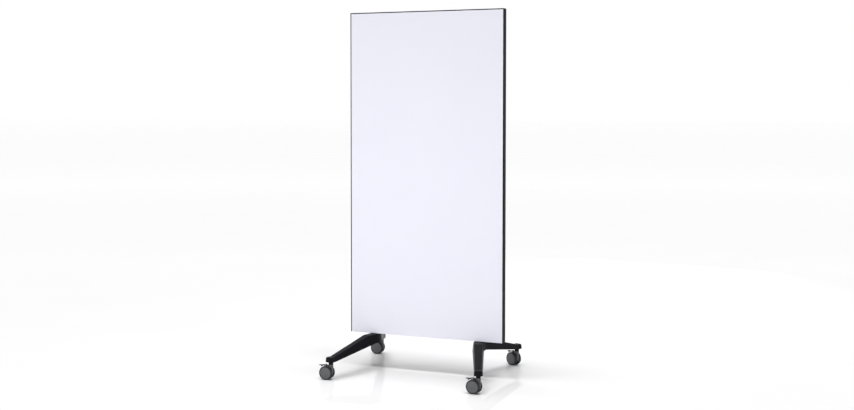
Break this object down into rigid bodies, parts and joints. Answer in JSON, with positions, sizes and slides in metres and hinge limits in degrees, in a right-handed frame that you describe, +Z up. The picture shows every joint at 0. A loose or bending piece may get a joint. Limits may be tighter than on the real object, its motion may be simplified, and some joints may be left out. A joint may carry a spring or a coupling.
{
  "type": "mobile glass whiteboard",
  "caption": "Tall double-sided white glass writing board in a slim black frame, on two cast boomerang feet with braked twin-wheel swivel castors.",
  "frame": {"origin": "on the floor, under the middle of the panel and midway between the castor stems", "axes": "+X to the right as a person faces the front writing face, +Y to the rear, +Z up"},
  "size_m": [0.9401, 0.774, 2],
  "materials": {
    "white_glass": "white painted on the back, polished face",
    "backing_steel": "primed sheet",
    "honeycomb_core": "paper honeycomb",
    "black_frame": "satin black anodised",
    "cast_key": "as cast",
    "black_casting": "satin black powder coat",
    "zinc_steel": "zinc plated",
    "castor_plastic": "fine grain grey",
    "wheel_rubber": "matte dark grey tread on a grey disc",
    "lever_plastic": "dark grey"
  },
  "bodies": {
    "board": {"front_glass": "white_glass", "rear_glass": "white_glass", "front_steel_sheet": "backing_steel", "rear_steel_sheet": "backing_steel", "core_board": "honeycomb_core", "left_stile": "black_frame", "right_stile": "black_frame", "top_rail": "black_frame", "bottom_rail": "black_frame", "corner_keys": "cast_key", "foot_bolts": "zinc_steel", "left_foot": "black_casting", "right_foot": "black_casting", "front_left_castor_stem": "zinc_steel", "front_right_castor_stem": "zinc_steel", "rear_left_castor_stem": "zinc_steel", "rear_right_castor_stem": "zinc_steel"},
    "front_left_castor": {"front_left_castor_yoke": "castor_plastic", "front_left_castor_axle": "zinc_steel", "front_left_brake_pin": "zinc_steel"},
    "front_left_wheel_a": {"front_left_castor_wheel_a": "wheel_rubber"},
    "front_left_wheel_b": {"front_left_castor_wheel_b": "wheel_rubber"},
    "front_left_lever": {"front_left_brake_lever": "lever_plastic"},
    "front_right_castor": {"front_right_castor_yoke": "castor_plastic", "front_right_castor_axle": "zinc_steel", "front_right_brake_pin": "zinc_steel"},
    "front_right_wheel_a": {"front_right_castor_wheel_a": "wheel_rubber"},
    "front_right_wheel_b": {"front_right_castor_wheel_b": "wheel_rubber"},
    "front_right_lever": {"front_right_brake_lever": "lever_plastic"},
    "rear_left_castor": {"rear_left_castor_yoke": "castor_plastic", "rear_left_castor_axle": "zinc_steel", "rear_left_brake_pin": "zinc_steel"},
    "rear_left_wheel_a": {"rear_left_castor_wheel_a": "wheel_rubber"},
    "rear_left_wheel_b": {"rear_left_castor_wheel_b": "wheel_rubber"},
    "rear_left_lever": {"rear_left_brake_lever": "lever_plastic"},
    "rear_right_castor": {"rear_right_castor_yoke": "castor_plastic", "rear_right_castor_axle": "zinc_steel", "rear_right_brake_pin": "zinc_steel"},
    "rear_right_wheel_a": {"rear_right_castor_wheel_a": "wheel_rubber"},
    "rear_right_wheel_b": {"rear_right_castor_wheel_b": "wheel_rubber"},
    "rear_right_lever": {"rear_right_brake_lever": "lever_plastic"}
  },
  "joints": [
    {"name": "front_left_swivel", "type": "hinge", "parent": "board", "child": "front_left_castor", "pos_m": [-0.419, -0.349, 0.083], "axis": [0, 0, 1], "continuous": true},
    {"name": "front_left_wheel_a_spin", "type": "hinge", "parent": "front_left_castor", "child": "front_left_wheel_a", "pos_m": [-0.443, -0.349, 0.0375], "axis": [0, 1, 0], "continuous": true},
    {"name": "front_left_wheel_b_spin", "type": "hinge", "parent": "front_left_castor", "child": "front_left_wheel_b", "pos_m": [-0.443, -0.349, 0.0375], "axis": [0, 1, 0], "continuous": true},
    {"name": "front_left_brake", "type": "hinge", "parent": "front_left_castor", "child": "front_left_lever", "pos_m": [-0.449, -0.349, 0.0775], "axis": [0, -1, 0], "range_deg": [0, 12]},
    {"name": "front_right_swivel", "type": "hinge", "parent": "board", "child": "front_right_castor", "pos_m": [0.419, -0.349, 0.083], "axis": [0, 0, 1], "continuous": true},
    {"name": "front_right_wheel_a_spin", "type": "hinge", "parent": "front_right_castor", "child": "front_right_wheel_a", "pos_m": [0.39513, -0.34649, 0.0375], "axis": [0.1045, 0.9945, 0], "continuous": true},
    {"name": "front_right_wheel_b_spin", "type": "hinge", "parent": "front_right_castor", "child": "front_right_wheel_b", "pos_m": [0.39513, -0.34649, 0.0375], "axis": [0.1045, 0.9945, 0], "continuous": true},
    {"name": "front_right_brake", "type": "hinge", "parent": "front_right_castor", "child": "front_right_lever", "pos_m": [0.38916, -0.34586, 0.0775], "axis": [-0.1045, -0.9945, 0], "range_deg": [0, 12]},
    {"name": "rear_left_swivel", "type": "hinge", "parent": "board", "child": "rear_left_castor", "pos_m": [-0.419, 0.349, 0.083], "axis": [0, 0, 1], "continuous": true},
    {"name": "rear_left_wheel_a_spin", "type": "hinge", "parent": "rear_left_castor", "child": "rear_left_wheel_a", "pos_m": [-0.44299, 0.34816, 0.0375], "axis": [-0.0349, 0.9994, 0], "continuous": true},
    {"name": "rear_left_wheel_b_spin", "type": "hinge", "parent": "rear_left_castor", "child": "rear_left_wheel_b", "pos_m": [-0.44299, 0.34816, 0.0375], "axis": [-0.0349, 0.9994, 0], "continuous": true},
    {"name": "rear_left_brake", "type": "hinge", "parent": "rear_left_castor", "child": "rear_left_lever", "pos_m": [-0.44898, 0.34795, 0.0775], "axis": [0.0349, -0.9994, 0], "range_deg": [0, 12]},
    {"name": "rear_right_swivel", "type": "hinge", "parent": "board", "child": "rear_right_castor", "pos_m": [0.419, 0.349, 0.083], "axis": [0, 0, 1], "continuous": true},
    {"name": "rear_right_wheel_a_spin", "type": "hinge", "parent": "rear_right_castor", "child": "rear_right_wheel_a", "pos_m": [0.39762, 0.3599, 0.0375], "axis": [0.454, 0.891, 0], "continuous": true},
    {"name": "rear_right_wheel_b_spin", "type": "hinge", "parent": "rear_right_castor", "child": "rear_right_wheel_b", "pos_m": [0.39762, 0.3599, 0.0375], "axis": [0.454, 0.891, 0], "continuous": true},
    {"name": "rear_right_brake", "type": "hinge", "parent": "rear_right_castor", "child": "rear_right_lever", "pos_m": [0.39227, 0.36262, 0.0775], "axis": [-0.454, -0.891, 0], "range_deg": [0, 12]}
  ]
}
